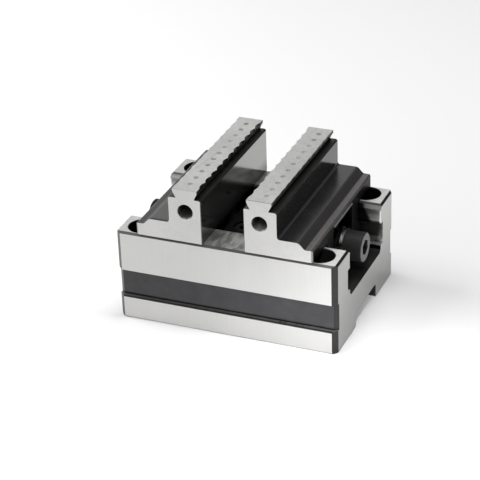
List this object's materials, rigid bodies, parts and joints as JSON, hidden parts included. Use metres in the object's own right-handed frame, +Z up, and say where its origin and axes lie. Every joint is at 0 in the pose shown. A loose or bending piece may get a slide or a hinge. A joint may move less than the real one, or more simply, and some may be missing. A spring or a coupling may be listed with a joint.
{
  "type": "self centering vise",
  "caption": "Self-centring vise: grooved steel base, two mirrored stepped jaws with scalloped gripping strips, and a two-hand screw that moves both jaws together.",
  "frame": {"origin": "middle of the base's underside", "axes": "+X along the screw towards its right end, +Y across the jaws from front to back, +Z up from the underside towards the jaws"},
  "size_m": [0.08, 0.06, 0.0534],
  "materials": {
    "ground_steel": "surface-ground lands, black oxide in the grooves, channel and chamfers",
    "left_jaw_oxide": "black oxide, semi-gloss, with ground end faces and gripping strip",
    "right_jaw_oxide": "black oxide, semi-gloss, with ground end faces and gripping strip",
    "screw_steel": "turned, dark, with a bright end ring",
    "bearing_steel": "milled, dark",
    "bearing_cap_steel": "milled, dark",
    "cap_screw_oxide_front": "black oxide",
    "cap_screw_oxide_rear": "black oxide",
    "block_screw_oxide_front": "black oxide",
    "block_screw_oxide_rear": "black oxide",
    "pin_steel_front": "ground, polished",
    "pin_steel_rear": "ground, polished"
  },
  "bodies": {
    "base": {"base_body": "ground_steel", "bearing_block": "bearing_steel", "bearing_cap": "bearing_cap_steel", "cap_screw_front": "cap_screw_oxide_front", "cap_screw_rear": "cap_screw_oxide_rear", "block_screw_front": "block_screw_oxide_front", "block_screw_rear": "block_screw_oxide_rear", "dowel_pin_front": "pin_steel_front", "dowel_pin_rear": "pin_steel_rear"},
    "screw": {"lead_screw": "screw_steel"},
    "left_jaw": {"left_jaw": "left_jaw_oxide"},
    "right_jaw": {"right_jaw": "right_jaw_oxide"}
  },
  "joints": [
    {"name": "right_jaw_slide", "type": "slide", "parent": "base", "child": "right_jaw", "axis": [1, 0, 0], "range_m": [-0.00675, 0.00863]},
    {"name": "left_jaw_slide", "type": "slide", "parent": "base", "child": "left_jaw", "axis": [-1, 0, 0], "range_m": [-0.00675, 0.00863]},
    {"name": "screw_turn", "type": "hinge", "parent": "base", "child": "screw", "pos_m": [0, 0, 0.0257], "axis": [1, 0, 0], "range_deg": [-810.5, 1035.5]}
  ],
  "couplings": [
    {"joint": "left_jaw_slide", "follows": "right_jaw_slide", "ratio": 1},
    {"joint": "screw_turn", "follows": "right_jaw_slide", "rad_per_m": 2094.4}
  ]
}
